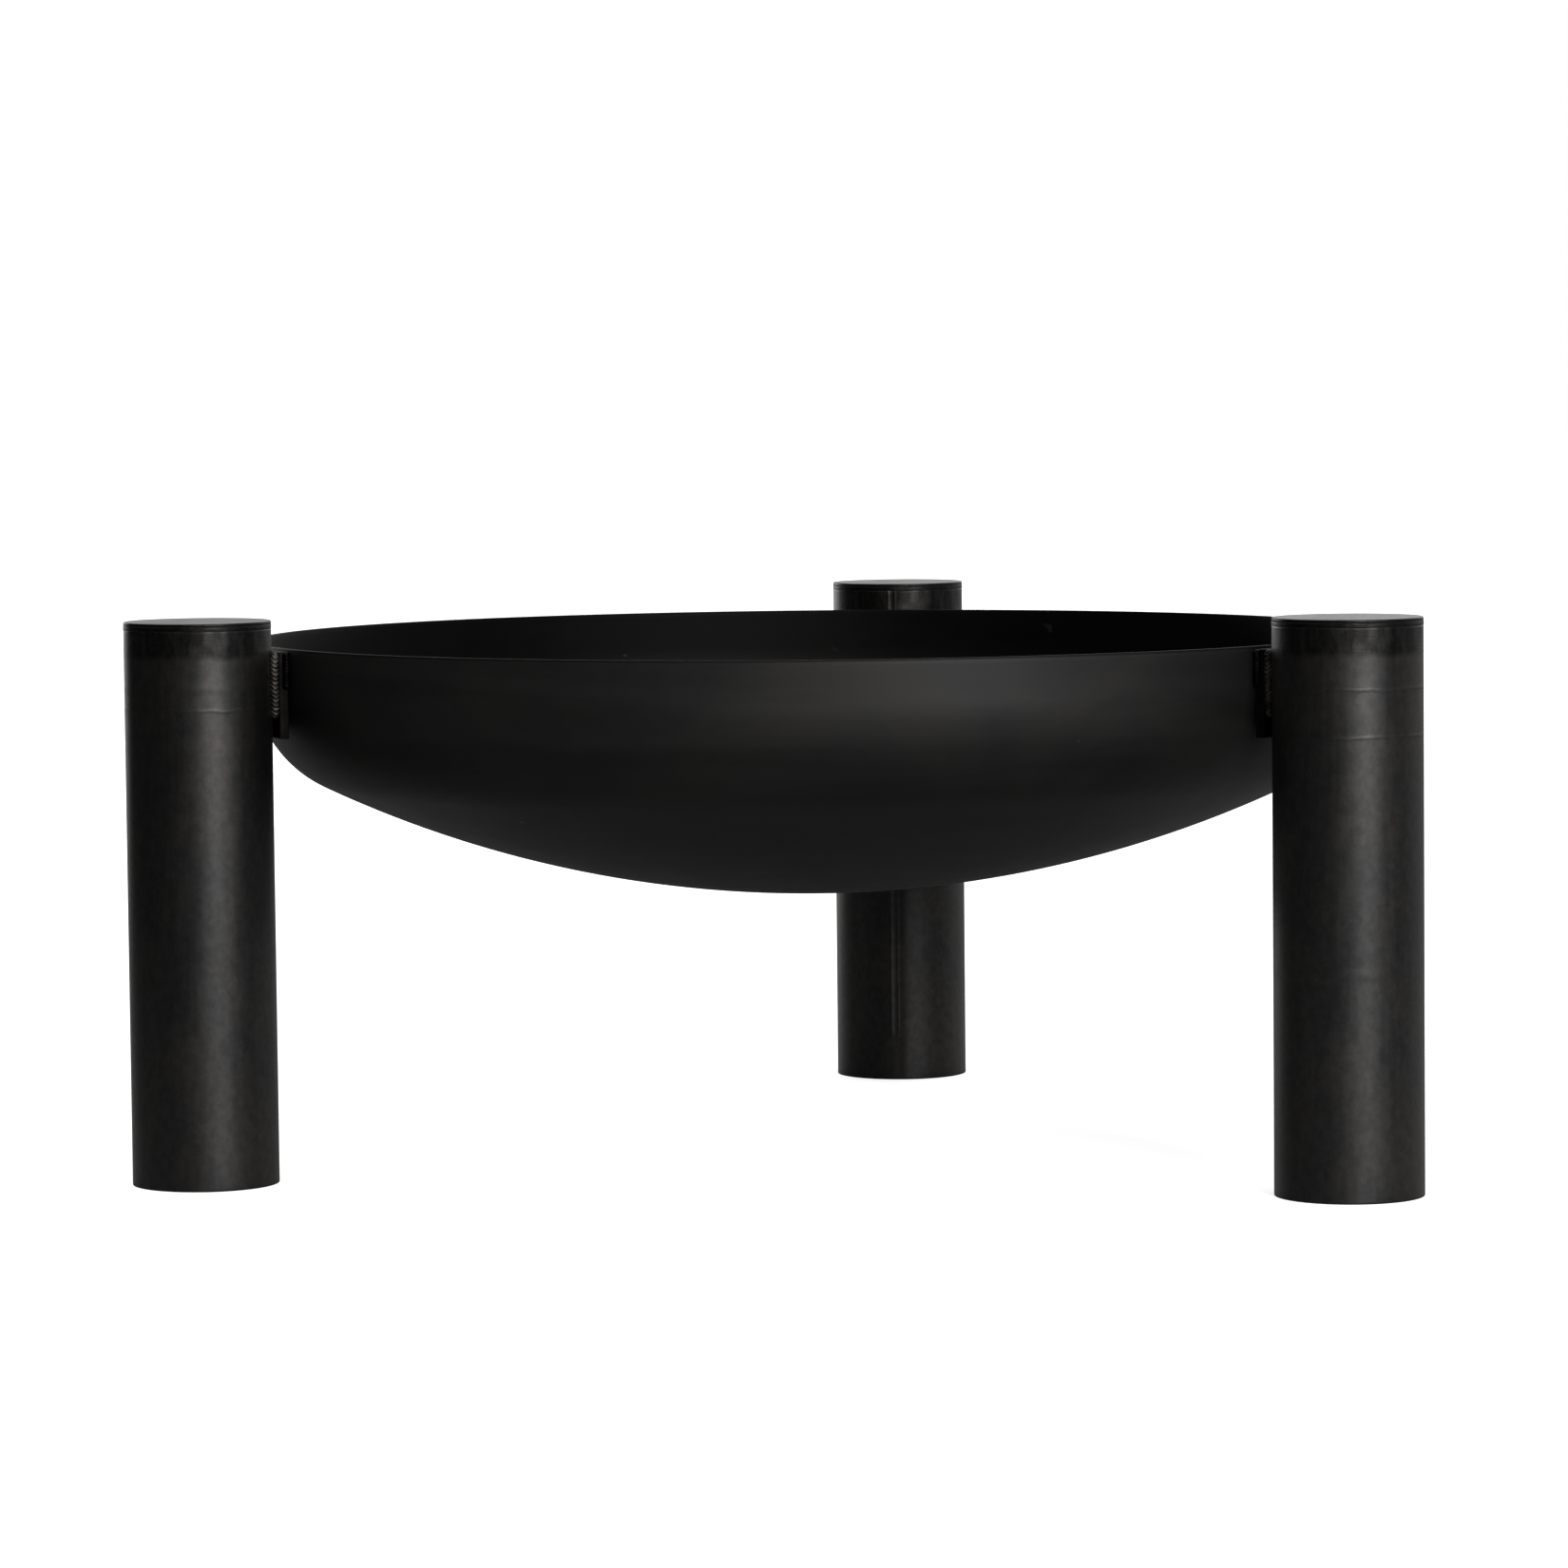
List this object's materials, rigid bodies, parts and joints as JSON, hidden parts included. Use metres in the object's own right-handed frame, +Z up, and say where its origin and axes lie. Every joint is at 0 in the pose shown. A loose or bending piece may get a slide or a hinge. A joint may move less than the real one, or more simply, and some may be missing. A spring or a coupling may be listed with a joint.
{
  "type": "fire pit",
  "caption": "Low garden fire pit: a wide dished steel bowl hung between thick capped tube legs, with a loose round log grate that lifts out.",
  "frame": {"origin": "on the ground, under the middle of the part's outer box; the bowl's axis stands 53.8 mm in front of it (towards -Y)", "axes": "+Z up; +Y towards the single back leg; +X to the right seen from the front, along the line through the two front legs"},
  "size_m": [0.8928, 0.9076, 0.39],
  "materials": {
    "bowl_steel": "satin",
    "tube_steel": "satin",
    "cap_steel": "satin",
    "ground_weld": "satin",
    "plate_steel": "satin",
    "weld_bead": "satin",
    "grate_steel": "matte"
  },
  "bodies": {
    "stand": {"bowl": "bowl_steel", "leg_tube_back": "tube_steel", "leg_tube_left": "tube_steel", "leg_tube_right": "tube_steel", "leg_cap_back": "cap_steel", "leg_cap_left": "cap_steel", "leg_cap_right": "cap_steel", "cap_weld_back": "ground_weld", "cap_weld_left": "ground_weld", "cap_weld_right": "ground_weld", "spacer_plate_back": "plate_steel", "spacer_plate_left": "plate_steel", "spacer_plate_right": "plate_steel", "leg_weld_back": "weld_bead", "leg_weld_left": "weld_bead", "leg_weld_right": "weld_bead", "bowl_weld_back": "weld_bead", "bowl_weld_left": "weld_bead", "bowl_weld_right": "weld_bead"},
    "grate": {"grate_hoop": "grate_steel", "grate_bar_1": "grate_steel", "grate_bar_2": "grate_steel", "grate_bar_3": "grate_steel", "grate_bar_4": "grate_steel", "grate_bar_5": "grate_steel", "grate_bar_6": "grate_steel", "grate_bar_7": "grate_steel", "grate_bar_8": "grate_steel", "grate_bar_9": "grate_steel", "grate_strap_left": "grate_steel", "grate_strap_right": "grate_steel", "grate_foot_back": "grate_steel", "grate_foot_left": "grate_steel", "grate_foot_right": "grate_steel", "grate_loop_left": "grate_steel", "grate_loop_right": "grate_steel"}
  },
  "joints": [
    {"name": "grate_lift", "type": "slide", "parent": "stand", "child": "grate", "axis": [0, 0, 1], "range_m": [0, 0.25]}
  ]
}
